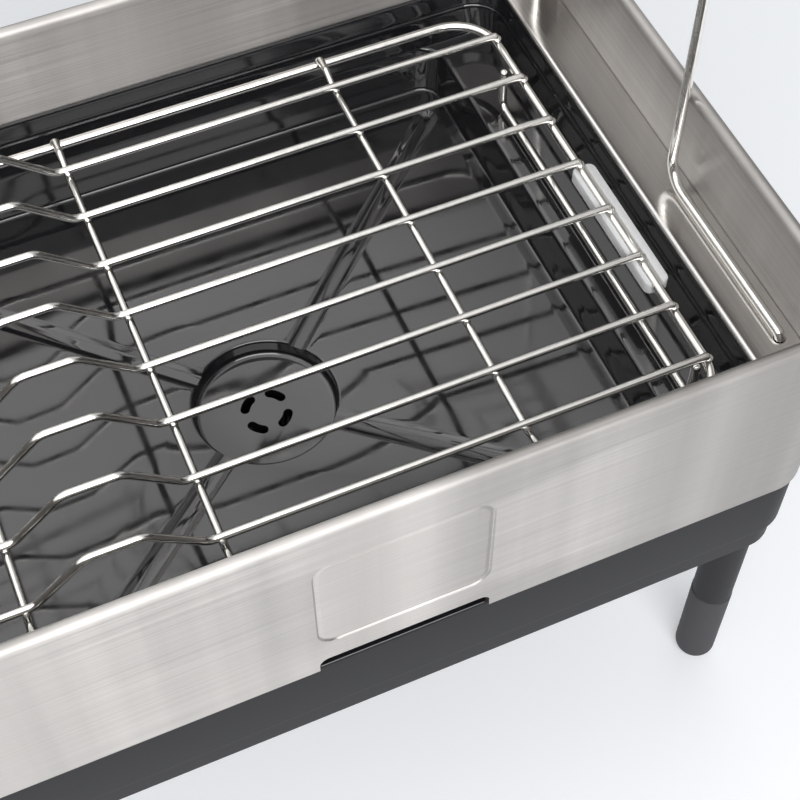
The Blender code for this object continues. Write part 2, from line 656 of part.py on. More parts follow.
def swivel_spout(parent):
    """Cup that turns round the spigot, with an open chute falling to the left."""
    rim, bottom = spout_levels()
    floor = bottom + CUP_WALL
    inner = CUP_RADIUS - CUP_WALL
    neck = SPIGOT_RADIUS + FIT_GAP
    cup = turned("swivel_spout", ((0, bottom), (CUP_RADIUS, bottom), (CUP_RADIUS, rim), (neck, rim),
                                  (neck, rim - CUP_RIM_WALL), (inner, rim - CUP_RIM_WALL),
                                  (inner, floor), (0, floor)), closed=False)
    axis = (0, -DRAIN_OFFSET, 0)
    spout = add_object("swivel_spout", cup, GLOSS_BLACK, axis, parent)

    tip_low = bottom - CHUTE_FALL
    tip_high = tip_low + CHUTE_TIP_HEIGHT
    shoulder_x = CHUTE_LENGTH - CHUTE_SHOULDER
    root_x = (neck + inner) / 2
    root_high = rim - CHUTE_ROOT_DROP
    side_view = [(-root_x, bottom), (-CHUTE_LENGTH, tip_low), (-CHUTE_LENGTH, tip_high),
                 (-shoulder_x, tip_high + CHUTE_SHOULDER_RISE), (-CUP_RADIUS, root_high),
                 (-root_x, root_high)]
    half = CHUTE_WIDTH / 2
    shape_with(spout, prism("chute", side_view, -half, half), "UNION", axis)
    fall = CHUTE_FALL / (CHUTE_LENGTH - root_x)
    end_x = CHUTE_LENGTH + CUT_OVERRUN
    end_floor = floor - fall * (end_x - root_x)
    start_x = root_x - CUP_WALL
    channel = [(-start_x, floor), (-root_x, floor), (-end_x, end_floor),
               (-end_x, rim), (-CUP_RADIUS - CUP_WALL, rim), (-CUP_RADIUS, root_high - CUP_WALL),
               (-start_x, root_high - CUP_WALL)]
    half_inner = half - CHUTE_WALL
    shape_with(spout, prism("chute_channel", channel, -half_inner, half_inner), "DIFFERENCE", axis)


def ring_points(half_x, half_y, radius):
    """Centre line of a level wire ring about its own middle."""
    return [(x, y, 0) for x, y in rounded_rectangle(half_x, half_y, radius)]


def plate_wire_path():
    """Centre line of a lengthwise wire: flat on the right, with one hump between two cross wires."""
    end = RACK_HALF_X + WIRE_OVERLAP
    start = CROSS_MIDDLE_X - HUMP_START
    top = start - HUMP_RUN
    corners = [(end, 0, 0), (start, 0, 0), (top, 0, HUMP_HEIGHT), (top - HUMP_TOP, 0, HUMP_HEIGHT),
               (top - HUMP_TOP - HUMP_RUN, 0, 0), (-end, 0, 0)]
    return bent_path(corners, [HUMP_BEND] * (len(corners) - 2))


def cross_wire_path():
    """Centre line of a cross wire: under the lengthwise wires, rising over the rim at both ends."""
    rise = PLATE_WIRE_Z - CROSS_WIRE_Z
    foot = LAST_WIRE_Y + CROSS_RISE_START
    head = foot + CROSS_RISE_RUN
    end = RACK_HALF_Y + WIRE_OVERLAP
    corners = [(0, -end, rise), (0, -head, rise), (0, -foot, 0), (0, foot, 0), (0, head, rise),
               (0, end, rise)]
    return bent_path(corners, [WIRE_PITCH / 4] * (len(corners) - 2))


def lower_rack(parent):
    """Wire rack in the tray: rim, lengthwise wires, cross wires, foot rails and end clips."""
    rim = wire_data("rack_rim", ring_points(RACK_HALF_X, RACK_HALF_Y, RACK_CORNER), RIM_WIRE,
                    THICK_RESOLUTION, closed=True)
    add_object("rack_rim", rim, POLISHED, (0, 0, RACK_RIM_Z), parent)

    plate_wire = wire_data("plate_wire", plate_wire_path(), PLATE_WIRE, THIN_RESOLUTION)
    for index in range(WIRE_COUNT):
        place = (0, (index - (WIRE_COUNT - 1) / 2) * WIRE_PITCH, PLATE_WIRE_Z)
        add_object(f"plate_wire_{index + 1}", plate_wire, POLISHED, place, parent)

    cross_wire = wire_data("cross_wire", cross_wire_path(), CROSS_WIRE, THIN_RESOLUTION)
    for label, x in (("left", CROSS_LEFT_X), ("middle", CROSS_MIDDLE_X), ("right", CROSS_RIGHT_X)):
        add_object(f"cross_wire_{label}", cross_wire, POLISHED, (x, 0, CROSS_WIRE_Z), parent)

    corners = [(0, -LAST_WIRE_Y, RAIL_DROP), (0, -LAST_WIRE_Y, 0), (0, RAIL_BACK_Y, 0),
               (0, RAIL_BACK_Y, RAIL_DROP)]
    rail = wire_data("foot_rail", bent_path(corners, [RAIL_BEND] * 2), RAIL_WIRE, THIN_RESOLUTION)
    rail_x = RACK_HALF_X - RIM_WIRE - FIT_GAP - RAIL_WIRE
    for side, sign in SIDES:
        add_object(f"{side}_foot_rail", rail, POLISHED, (sign * rail_x, 0, RAIL_Z), parent)
        end_clip(side, sign, parent)


def end_clip(side, sign, parent):
    """Channel clip pushed up round the rack's rim, with rounded ends."""
    slot = RIM_WIRE + FIT_GAP
    outer = slot + CLIP_OUTER_WALL
    inner = slot + CLIP_INNER_WALL
    half = CLIP_LENGTH / 2
    cut = CLIP_END_ROUND
    outline = [(-inner, -half + cut), (-inner + cut, -half), (outer - cut, -half), (outer, -half + cut),
               (outer, half - cut), (outer - cut, half), (-inner + cut, half), (-inner, half - cut)]
    body = prism("clip", [(sign * x, y) for x, y in outline], -slot - CLIP_BOTTOM_WALL,
                 RIM_WIRE - FIT_GAP, axis="Z")
    place = (sign * RACK_HALF_X, CLIP_CENTRE_Y, RACK_RIM_Z)
    clip = add_object(f"{side}_clip", body, WHITE_PLASTIC, place, parent)
    groove = [(-slot, -slot), (slot, -slot), (slot, slot), (-slot, slot)]
    groove_half = half + CUT_OVERRUN
    shape_with(clip, prism("clip_groove", groove, -groove_half, groove_half), "DIFFERENCE", place)


def tier_side_path():
    """Centre line of a side frame: front plug, foot, upright, top run and back leg, at x zero."""
    plug_z = TIER_FOOT_Z - TIER_PLUG_DEPTH
    corners = [(0, TIER_FOOT_FRONT_Y, plug_z), (0, TIER_FOOT_FRONT_Y, TIER_FOOT_Z),
               (0, TIER_UPRIGHT_Y, TIER_FOOT_Z), (0, TIER_UPRIGHT_Y, TIER_TOP_Z),
               (0, TIER_BACK_Y, TIER_TOP_Z), (0, TIER_BACK_Y, plug_z)]
    return bent_path(corners, [TIER_PLUG_BEND, TIER_FOOT_BEND, TIER_TOP_BEND, TIER_TOP_BEND])


def basket_wire(half_span, depth):
    """Centre line of a basket wire along X: down one side, across and up the other side."""
    corners = [(-half_span, 0, 0), (-half_span + BASKET_SLOPE, 0, -depth),
               (half_span - BASKET_SLOPE, 0, -depth), (half_span, 0, 0)]
    return bent_path(corners, [BASKET_BEND] * 2)


def upper_tier(parent):
    """Wire tier: two side frames that stand on the ledges and carry a shallow basket."""
    side_frame = wire_data("tier_side", tier_side_path(), RIM_WIRE, THICK_RESOLUTION)
    for side, sign in SIDES:
        add_object(f"tier_side_{side}", side_frame, POLISHED, (sign * TIER_FRAME_X, 0, 0), parent)

    half_y = (TIER_BACK_Y - TIER_RIM_FRONT_Y) / 2
    middle_y = (TIER_BACK_Y + TIER_RIM_FRONT_Y) / 2
    rim = wire_data("tier_rim", ring_points(TIER_RIM_HALF_X, half_y, TIER_RIM_CORNER), RIM_WIRE,
                    THICK_RESOLUTION, closed=True)
    add_object("tier_rim", rim, POLISHED, (0, middle_y, TIER_TOP_Z), parent)

    seat = RIM_WIRE + FIT_GAP + BASKET_WIRE
    cross = wire_data("tier_cross_wire", basket_wire(half_y - seat, BASKET_DEPTH), BASKET_WIRE,
                      THIN_RESOLUTION)
    for index in range(TIER_CROSS_COUNT):
        x = (index - (TIER_CROSS_COUNT - 1) / 2) * TIER_CROSS_PITCH
        add_object(f"tier_cross_wire_{index + 1}", cross, POLISHED, (x, middle_y, TIER_TOP_Z), parent,
                   turn=math.pi / 2)

    depth = BASKET_DEPTH - 2 * BASKET_WIRE - FIT_GAP
    floor_wire = wire_data("tier_floor_wire", basket_wire(TIER_RIM_HALF_X - seat, depth), BASKET_WIRE,
                           THIN_RESOLUTION)
    for index in range(TIER_FLOOR_COUNT):
        y = middle_y + (index - (TIER_FLOOR_COUNT - 1) / 2) * TIER_FLOOR_PITCH
        add_object(f"tier_floor_wire_{index + 1}", floor_wire, POLISHED, (0, y, TIER_TOP_Z), parent)


def main():
    """Build every piece in its own place."""
    clear_scene()
    rack_lift = add_empty("rack_lift", (0, 0, SEAT_TOP))
    tier_lift = add_empty("tier_lift", (0, 0, LEDGE_TOP))
    spout_swivel = add_empty("spout_swivel", (0, -DRAIN_OFFSET, SPIGOT_BOTTOM))
    base_frame()
    legs_and_caps()
    drip_tray()
    drain_spigot()
    spout_retainer()
    swivel_spout(spout_swivel)
    steel_band()
    side_ledges()
    lower_rack(rack_lift)
    upper_tier(tier_lift)


main()
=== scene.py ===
"""Looks of the two-tier dish rack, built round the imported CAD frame."""

import math

import bmesh
import bpy
from mathutils import Matrix
from mathutils import Quaternion
from mathutils import Vector

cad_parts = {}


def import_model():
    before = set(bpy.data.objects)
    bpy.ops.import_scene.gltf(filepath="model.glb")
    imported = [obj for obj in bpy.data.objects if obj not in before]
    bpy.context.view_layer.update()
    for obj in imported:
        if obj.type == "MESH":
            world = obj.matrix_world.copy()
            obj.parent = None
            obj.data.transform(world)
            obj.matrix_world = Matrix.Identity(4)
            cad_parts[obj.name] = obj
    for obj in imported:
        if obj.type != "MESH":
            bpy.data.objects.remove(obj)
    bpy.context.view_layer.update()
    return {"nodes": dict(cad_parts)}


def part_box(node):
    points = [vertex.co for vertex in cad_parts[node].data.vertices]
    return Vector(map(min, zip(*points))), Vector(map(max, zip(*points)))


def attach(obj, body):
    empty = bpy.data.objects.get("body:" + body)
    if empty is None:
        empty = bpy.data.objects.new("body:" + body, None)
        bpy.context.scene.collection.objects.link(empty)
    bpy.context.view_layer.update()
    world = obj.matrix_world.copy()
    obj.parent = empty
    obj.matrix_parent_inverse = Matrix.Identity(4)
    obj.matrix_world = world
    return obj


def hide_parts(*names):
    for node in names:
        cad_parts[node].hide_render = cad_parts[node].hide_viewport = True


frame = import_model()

NODES = frame["nodes"]

# Camera, fitted to the photograph
CAMERA_PLACE = (-0.1114, -0.4462, 0.8610)
CAMERA_PITCH = 56.265
CAMERA_YAW = 23.047
CAMERA_ROLL = -0.408
CAMERA_LENS = 72.26
SENSOR_WIDTH = 36.0
CAMERA_CLIP = (0.01, 30.0)

# Surroundings as the pieces mirror them, each range given as from low, from high, to low and to high.
# They brighten from the horizon up and from the right to the left, and the horizon has a faint glow.
SKY_RISE = (0.20, 0.80, 0.22, 1.42)
SKY_DIRECTION = (-1.0, -0.30, 0.0)
SKY_SHADE = (-0.52, -0.32, 0.08, 0.62)
SKY_ACROSS = (-0.32, 0.80, 0.0, 0.90)
SKY_HORIZON = (0.0, 0.25, 0.30, 0.0)

# Sizes shared with the CAD model, in metres
HALF_LENGTH = 0.227
HALF_DEPTH = 0.160
BODY_CORNER = 0.022
BAND_BOTTOM = 0.202
BAND_TOP = 0.322
BAND_WALL = 0.001
LIP_RADIUS = 0.00325
LIP_RETURN = 0.002
HEM_WIDTH = 0.005
HEM_EASE = 0.0003
LEDGE_TOP = 0.2645
LEDGE_CURL = 0.002
LEDGE_INNER = 0.1998
LEDGE_WALL = 0.001
FOOT_HOLE_RADIUS = 0.003
FRAME_WIRE = 0.0025
PANEL_CENTRE = (0.0124, 0.262)
PANEL_HALF = (0.0412, 0.035)
PANEL_CORNER = 0.010
PANEL_BORDER = ((0.0011, 0.0009), (0.0024, -0.0005))
PANEL_STEPS = 8
NOTCH_HEIGHT = 0.010
NOTCH_CORNER = 0.005
STRIP_HALF = 0.0018
STRIP_CORNER = 0.0012
STRIP_INSET = 0.0038
STRIP_LEVELS = ((0.00005, 0.0), (0.0003, 0.0), (0.00045, 0.0002), (0.0005, 0.0006))
SKIRT_BOTTOM = 0.140
SKIRT_STEP = 0.159
SKIRT_INSET = 0.0015
SKIRT_STEP_DEPTH = 0.0025
SKIRT_LOWER_WALL = 0.0025
SKIRT_WALL = 0.003
SHELF_TOP = 0.1982
SHELF_WALL = 0.003
SHELF_REACH = 0.018
SKIRT_ROUND = 0.0011
SOCKET_DEPTH = 0.040
BOSS_LIFT = 0.002
LEG_X = 0.2035
LEG_Y = 0.142
LEG_RADIUS = 0.01085
CAP_RADIUS = 0.0112
CAP_HEIGHT = 0.070
CAP_ROUND = 0.0065
CAP_EASE = 0.0007
CAP_BORE = 0.0083
CAP_BORE_DEPTH = 0.025
TENON_RADIUS = 0.008
TENON_LENGTH = 0.02
LEG_EASE = 0.0006
BOSS_RADIUS = 0.01365
DRAIN_Y = -0.014
FLOOR_TOP = 0.2008
FLOOR_HALF = (0.164, 0.1502)
SEAT_TOP = 0.2298
SEAT_INSET = 0.0008
TRAY_TOP = 0.2602
TRAY_WALL = 0.002
TRAY_FLOOR_WALL = 0.0023
TRAY_SLOPE = 0.003
TRAY_CORNER = 0.012
TRAY_DRAFT = 0.0012
TRAY_EASE = 0.0005
TRAY_RIM_OFFSET = 0.001
TRAY_FLANGE_X = 0.214
TRAY_STEP = 0.0012
TRAY_STEP_DROP = 0.012
TRAY_FLOOR_MARGIN = 0.004
TRAY_ROUND = 0.003
CHANNEL_START = 0.033
CHANNEL_END_X = 0.150
CHANNEL_END_YS = (0.128, -0.138)
CHANNEL_PROFILE = ((-0.0016, 0.0022), (-0.00152, 0.0027), (-0.0013, 0.0032), (-0.0002, 0.0058),
                   (-0.00005, 0.0062), (0.0, 0.0067), (0.0002, 0.0090))
DRAIN_RADIUS = 0.036
DRAIN_FLOOR = 0.1908
DRAIN_WALL = 0.003
DRAIN_FILLET = 0.003
DRAIN_RIM_ROUND = 0.0016
DRAIN_OVERLAP = 0.001
GRATE_BOTTOM = 0.1868
SLOT_COUNT = 4
SLOT_RING = 0.0108
SLOT_ROUND = 0.0024
SLOT_HALF_ANGLE = math.radians(17)
RACK_CORNER = 0.025
PLATE_WIRES = 8
HUMP_START = 0.006
HUMP_RUN = 0.025
HUMP_TOP = 0.026
HUMP_FOOT = 0.051
HUMP_BEND = 0.009
CROSS_REACH = 0.0035
CROSS_RUN = 0.010
CROSS_BEND = 0.008
RAIL_BEND = 0.006
END_BEAD = (0.0026, 0.0026, 0.0012)
CROSS_BEAD = (0.0024, 0.0024, 0.0013)
CLIP_FOOT = ((0.0, 0.0009), (0.0003, 0.0004), (0.0009, 0.0))
CLIP_HEAD = ((-0.0008, 0.0), (-0.0003, 0.0003), (0.0, 0.0008))
CLIP_CORNER = 0.0036
CLIP_GROOVE = 0.0028
CLIP_GROOVE_HEIGHT = 0.012
TIER_FRONT = -0.0125
TIER_BENDS = (0.003, 0.014, 0.020, 0.020)
TIER_CORNER = 0.018
TIER_CROSS_WIRES = 6
TIER_FLOOR_WIRES = 5
BASKET_SLOPE = 0.005
BASKET_BEND = 0.007
GAP = 0.0003
CUT_OVERRUN = 0.002

# CAD pieces that stay in view, each with the finish that it gets
CARRIED_OVER = (("spout_retainer", "matte_grey_plastic"), ("swivel_spout", "gloss_black_plastic"),
                ("drain_spigot", "gloss_black_plastic"))

# Drawing steps and limits of the drawing helpers
CORNER_STEPS = 14
ROUND_STEPS = 72
LEG_STEPS = 56
BOSS_STEPS = 48
HOLE_STEPS = 32
LIP_STEPS = 22
LEDGE_STEPS = 16
SOLE_STEPS = 14
ARC_STEPS = 12
CURL_STEPS = 10
SMALL_STEPS = 8
EDGE_STEPS = 6
TRAY_ROUND_STEPS = 5
WIRE_RESOLUTION = 4
RING_STEPS = 16
BEND_STEPS = 10
DOME_STEPS = 6
DOME_TIP_SHARE = 0.03
BEAD_STEPS = 12
BEAD_ROWS = 8
SMOOTH_ANGLE = 35.0
CARVED_ANGLE = 32.0
TINY = 1e-9
CORNER_SHARE = 0.45

# Finishes: two colours, roughness range, grain scale along X, Y and Z, grain, grain strength, metallic
FINISHES = {
    "brushed_steel": ((0.44, 0.420, 0.403), (0.56, 0.538, 0.520), (0.34, 0.42), (6.0, 6.0, 1400.0),
                      1.0, 0.04, 0.8),
    "ledge_steel": ((0.60, 0.585, 0.57), (0.68, 0.66, 0.64), (0.14, 0.22), (900.0, 6.0, 900.0),
                    1.0, 0.04, 1.0),
    "polished_wire": ((0.80, 0.785, 0.755), (0.88, 0.865, 0.835), (0.10, 0.17), (60.0, 60.0, 60.0),
                      4.0, 0.03, 1.0),
    "gloss_black_plastic": ((0.010, 0.010, 0.012), (0.014, 0.014, 0.016), (0.05, 0.10),
                            (30.0, 30.0, 30.0), 3.0, 0.004, 0.0),
    "matte_grey_plastic": ((0.028, 0.028, 0.030), (0.038, 0.038, 0.040), (0.42, 0.52), (1.0, 1.0, 1.0),
                           1800.0, 0.08, 0.0),
    "dark_rubber": ((0.042, 0.041, 0.045), (0.052, 0.051, 0.055), (0.62, 0.75), (1.0, 1.0, 1.0),
                    1500.0, 0.12, 0.0),
    "white_plastic": ((0.86, 0.86, 0.865), (0.90, 0.90, 0.90), (0.34, 0.44), (1.0, 1.0, 1.0),
                      900.0, 0.10, 0.0),
}
GRAIN_HEIGHT = 0.0002
GRAIN_DETAIL = 5.0
GRAIN_RANGE = (0.3, 0.7)
STEEL_STRETCH = 0.95
STEEL_TURN = 0.25
# Painted upright streaks of reflection and shade in the brushed steel's colour: their scale along X, Y
# and Z, and their range of brightness
PAINTED_STREAK_SCALE = (24.0, 24.0, 0.6)
PAINTED_STREAK_RANGE = (0.82, 1.14)
GLOSS_IOR = 1.85
MATTE_SPECULAR = 0.08

# Stage: floor, surroundings and lamps, each lamp with its name, place, size and power
FLOOR_REACH = 6.0
FLOOR_COLOUR = (0.84, 0.85, 0.87, 1)
FLOOR_ROUGHNESS = 0.7
FLOOR_GLOW_COLOUR = (0.96, 0.98, 1.0, 1)
FLOOR_GLOW = 0.25
FLOOR_FADE = (0.9, 2.6, FLOOR_GLOW, 1.0)
FLOOR_MIRRORED = (0.9, 2.6, FLOOR_GLOW, 0.05)
SURROUNDINGS = (0.36, 0.37, 0.38, 1)
LAMP_TARGET = (0, 0, 0.2)
LAMPS = (("front", (-0.22, -1.20, 1.10), 1.3, 19), ("ceiling", (0.55, 1.35, 2.3), 3.4, 17))


def rounded_rectangle(half_x, half_y, radius, steps=CORNER_STEPS):
    """Corner points of a rounded rectangle, anticlockwise."""
    points = []
    for quarter, (sx, sy) in enumerate(((1, 1), (-1, 1), (-1, -1), (1, -1))):
        centre_x = sx * (half_x - radius)
        centre_y = sy * (half_y - radius)
        for step in range(steps + 1):
            angle = (quarter + step / steps) * math.pi / 2
            points.append((centre_x + radius * math.cos(angle), centre_y + radius * math.sin(angle)))
    return points


def arc(centre, radius, start, end, steps):
    """Points of an arc in two coordinates, with both ends."""
    points = []
    for step in range(steps + 1):
        angle = start + (end - start) * step / steps
        points.append((centre[0] + radius * math.cos(angle), centre[1] + radius * math.sin(angle)))
    return points


def soften(points, reach, closed=False, steps=4):
    """Round the corners of a run of points of any dimension, up to the given reach."""
    vectors = [tuple(p) for p in points]
    count = len(vectors)
    softened = []
    for index, here in enumerate(vectors):
        if not closed and index in (0, count - 1):
            softened.append(here)
            continue
        before = vectors[index - 1]
        after = vectors[(index + 1) % count]
        back = min(reach / max(distance(here, before), TINY), CORNER_SHARE)
        ahead = min(reach / max(distance(here, after), TINY), CORNER_SHARE)
        start = mix(here, before, back)
        end = mix(here, after, ahead)
        for step in range(steps + 1):
            t = step / steps
            softened.append(mix(mix(start, here, t), mix(here, end, t), t))
    return softened


def mix(a, b, share):
    """Point part of the way from a to b."""
    return tuple(x + (y - x) * share for x, y in zip(a, b))


def distance(a, b):
    """Length between two points of any dimension."""
    return math.sqrt(sum((x - y) ** 2 for x, y in zip(a, b)))


def finish_mesh(name, verts, faces, angle=SMOOTH_ANGLE):
    """Mesh with outward faces, smooth up to the given angle in degrees."""
    mesh = bpy.data.meshes.new(name)
    mesh.from_pydata(verts, [], faces)
    shape = bmesh.new()
    shape.from_mesh(mesh)
    bmesh.ops.recalc_face_normals(shape, faces=shape.faces)
    shape.to_mesh(mesh)
    shape.free()
    mesh.shade_smooth()
    mesh.set_sharp_from_angle(angle=math.radians(angle))
    return mesh


def bridge(rings, count, closed):
    """Faces between rings of the same number of points, capped unless closed."""
    faces = []
    for ring in range(rings if closed else rings - 1):
        here = ring * count
        there = (ring + 1) % rings * count
        for point in range(count):
            after = (point + 1) % count
            faces.append((here + point, here + after, there + after, there + point))
    if not closed:
        faces.append(tuple(range(count)))
        faces.append(tuple(range((rings - 1) * count, rings * count)))
    return faces


def plan_loft(name, sections, closed=False):
    """Solid through rounded rectangles, each given as half x, half y, corner radius and height."""
    verts = []
    for half_x, half_y, radius, height in sections:
        verts += [(x, y, height) for x, y in rounded_rectangle(half_x, half_y, radius)]
    return finish_mesh(name, verts, bridge(len(sections), len(verts) // len(sections), closed))


def band_loft(name, profile):
    """Solid whose profile, in offset from the body plan and height, runs round the plan."""
    sections = [(HALF_LENGTH + o, HALF_DEPTH + o, BODY_CORNER + o, z) for o, z in profile]
    return plan_loft(name, sections, closed=True)


def turned(name, profile, steps=ROUND_STEPS, centre=(0, 0)):
    """Solid of revolution about a vertical axis; the profile starts and ends on the axis."""
    rings = profile[1:-1]
    verts = []
    for radius, height in rings:
        for step in range(steps):
            angle = 2 * math.pi * step / steps
            x, y = radius * math.cos(angle), radius * math.sin(angle)
            verts.append((centre[0] + x, centre[1] + y, height))
    return finish_mesh(name, verts, bridge(len(rings), steps, False))


def prism(name, sections, axis="Y"):
    """Solid through outlines at several levels along Y (outline in X and Z) or Z (in X and Y)."""
    verts = []
    for level, outline in sections:
        for first, second in outline:
            verts.append((first, level, second) if axis == "Y" else (first, second, level))
    return finish_mesh(name, verts, bridge(len(sections), len(sections[0][1]), False))


def add_piece(name, data, body, material, nodes=()):
    """Link one visible piece, with its finish, its body and the CAD nodes that it stands for."""
    item = bpy.data.objects.new(name, data)
    bpy.context.collection.objects.link(item)
    data.materials.clear()
    data.materials.append(material)
    if nodes:
        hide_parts(*nodes)
    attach(item, body)
    return item


def carve(item, tools):
    """Apply cuts and joins to a piece, then remove the tools. Each tool is its operation and mesh."""
    for operation, mesh in tools:
        tool = bpy.data.objects.new("carving_tool", mesh)
        bpy.context.collection.objects.link(tool)
        step = item.modifiers.new("carve", "BOOLEAN")
        step.operation = operation
        step.solver = "EXACT"
        step.object = tool
        bpy.context.view_layer.update()
        graph = bpy.context.evaluated_depsgraph_get()
        made = bpy.data.meshes.new_from_object(item.evaluated_get(graph))
        item.modifiers.remove(step)
        item.data = made
        bpy.data.objects.remove(tool, do_unlink=True)
    item.data.shade_smooth()
    item.data.set_sharp_from_angle(angle=math.radians(CARVED_ANGLE))


def bent_path(corners, radii, steps=BEND_STEPS):
    """Centre line of a bent wire: straight runs joined by arcs at the inner corners."""
    points = [Vector(corners[0])]
    for index in range(1, len(corners) - 1):
        corner = Vector(corners[index])
        inward = (corner - Vector(corners[index - 1])).normalized()
        outward = (Vector(corners[index + 1]) - corner).normalized()
        turn = inward.angle(outward)
        radius = radii[index - 1]
        reach = radius * math.tan(turn / 2)
        start = corner - inward * reach
        middle = corner + (outward - inward).normalized() * (radius / math.cos(turn / 2))
        axis = inward.cross(outward).normalized()
        for step in range(steps + 1):
            points.append(middle + Quaternion(axis, turn * step / steps) @ (start - middle))
    points.append(Vector(corners[-1]))
    return points


def domed(points, radius):
    """Points and width shares of a wire whose two ends are rounded over."""
    path = [(Vector(point), 1.0) for point in points]
    for _ in range(2):
        path.reverse()
        end, before = path[-1][0], path[-2][0]
        inward = (before - end).normalized()
        path.pop()
        for step in range(DOME_STEPS + 1):
            angle = math.pi / 2 * step / DOME_STEPS
            place = end + inward * radius * (1 - math.sin(angle))
            path.append((place, max(math.cos(angle), DOME_TIP_SHARE)))
    return path


def wire_piece(name, points, radius, body, node, material, closed=False):
    """Round wire that stands for one CAD node."""
    data = bpy.data.curves.new(name, "CURVE")
    data.dimensions = "3D"
    data.bevel_depth = radius
    data.bevel_resolution = WIRE_RESOLUTION
    data.use_fill_caps = not closed
    spline = data.splines.new("POLY")
    path = [(point, 1.0) for point in points] if closed else domed(points, radius)
    spline.points.add(len(path) - 1)
    for slot, (point, share) in zip(spline.points, path):
        slot.co = (point[0], point[1], point[2], 1)
        slot.radius = share
    spline.use_cyclic_u = closed
    spline.use_smooth = True
    return add_piece(name, data, body, material, (node,))


def coordinates(tree, scale):
    """Object coordinates scaled along each axis, in waves for each metre."""
    place = tree.nodes.new("ShaderNodeTexCoord")
    mapping = tree.nodes.new("ShaderNodeMapping")
    mapping.inputs["Scale"].default_value = scale
    tree.links.new(place.outputs["Object"], mapping.inputs["Vector"])
    return mapping.outputs["Vector"]


def mapped(tree, value, numbers):
    """Value moved from one range to another, given as from low, from high, to low and to high."""
    stage = tree.nodes.new("ShaderNodeMapRange")
    for name, number in zip(("From Min", "From Max", "To Min", "To Max"), numbers):
        stage.inputs[name].default_value = number
    tree.links.new(value, stage.inputs["Value"])
    return stage.outputs["Result"]


def combined(tree, operation, first, second):
    """Result of one math step on two values."""
    step = tree.nodes.new("ShaderNodeMath")
    step.operation = operation
    tree.links.new(first, step.inputs[0])
    tree.links.new(second, step.inputs[1])
    return step.outputs["Value"]


def tint(tree, value, low, high):
    """Colour between two colours, by the grain."""
    ramp = tree.nodes.new("ShaderNodeValToRGB")
    for element, place, colour in zip(ramp.color_ramp.elements, GRAIN_RANGE, (low, high)):
        element.position = place
        element.color = (*colour, 1)
    tree.links.new(value, ramp.inputs["Fac"])
    return ramp.outputs["Color"]


def grain_field(tree, scale, grain):
    """Fine noise on the object, stretched by the scale along each axis."""
    texture = tree.nodes.new("ShaderNodeTexNoise")
    texture.inputs["Scale"].default_value = grain
    texture.inputs["Detail"].default_value = GRAIN_DETAIL
    tree.links.new(coordinates(tree, scale), texture.inputs["Vector"])
    return texture.outputs["Fac"]


def painted_reflection_streaks(tree, colour):
    """Colour with soft upright light and dark streaks painted in: painted reflection streaks and
    painted shade bands on the sheet.
    """
    share = mapped(tree, grain_field(tree, PAINTED_STREAK_SCALE, 1.0), (*GRAIN_RANGE, *PAINTED_STREAK_RANGE))
    product = tree.nodes.new("ShaderNodeVectorMath")
    product.operation = "SCALE"
    tree.links.new(colour, product.inputs[0])
    tree.links.new(share, product.inputs["Scale"])
    return product.outputs["Vector"]


def surface(name):
    """Procedural finish: two close colours, a roughness range and a fine bump, all from one grain."""
    low, high, rough, scale, grain, strength, metallic = FINISHES[name]
    made = bpy.data.materials.new(f"{name}_finish")
    made.use_nodes = True
    tree = made.node_tree
    shader = tree.nodes["Principled BSDF"]
    field = grain_field(tree, scale, grain)
    colour = tint(tree, field, low, high)
    if name == "brushed_steel":
        # The brushed steel's colour gets painted upright streaks of reflection and shade
        colour = painted_reflection_streaks(tree, colour)
    tree.links.new(colour, shader.inputs["Base Color"])
    tree.links.new(mapped(tree, field, (*GRAIN_RANGE, *rough)), shader.inputs["Roughness"])
    shader.inputs["Metallic"].default_value = metallic
    relief = tree.nodes.new("ShaderNodeBump")
    relief.inputs["Strength"].default_value = strength
    relief.inputs["Distance"].default_value = GRAIN_HEIGHT
    tree.links.new(field, relief.inputs["Height"])
    tree.links.new(relief.outputs["Normal"], shader.inputs["Normal"])
    return made, shader


def make_materials():
    """Finish of each slot, with the highlights of the brushed steel drawn out upright."""
    made = {}
    for name in FINISHES:
        made[name], shader = surface(name)
        if name == "brushed_steel":
            tree = made[name].node_tree
            tangent = tree.nodes.new("ShaderNodeTangent")
            tangent.direction_type = "RADIAL"
            tangent.axis = "Z"
            tree.links.new(tangent.outputs["Tangent"], shader.inputs["Tangent"])
            shader.inputs["Anisotropic"].default_value = STEEL_STRETCH
            shader.inputs["Anisotropic Rotation"].default_value = STEEL_TURN
        elif name == "gloss_black_plastic":
            shader.inputs["IOR"].default_value = GLOSS_IOR
        elif name == "matte_grey_plastic":
            shader.inputs["Specular IOR Level"].default_value = MATTE_SPECULAR
    return made


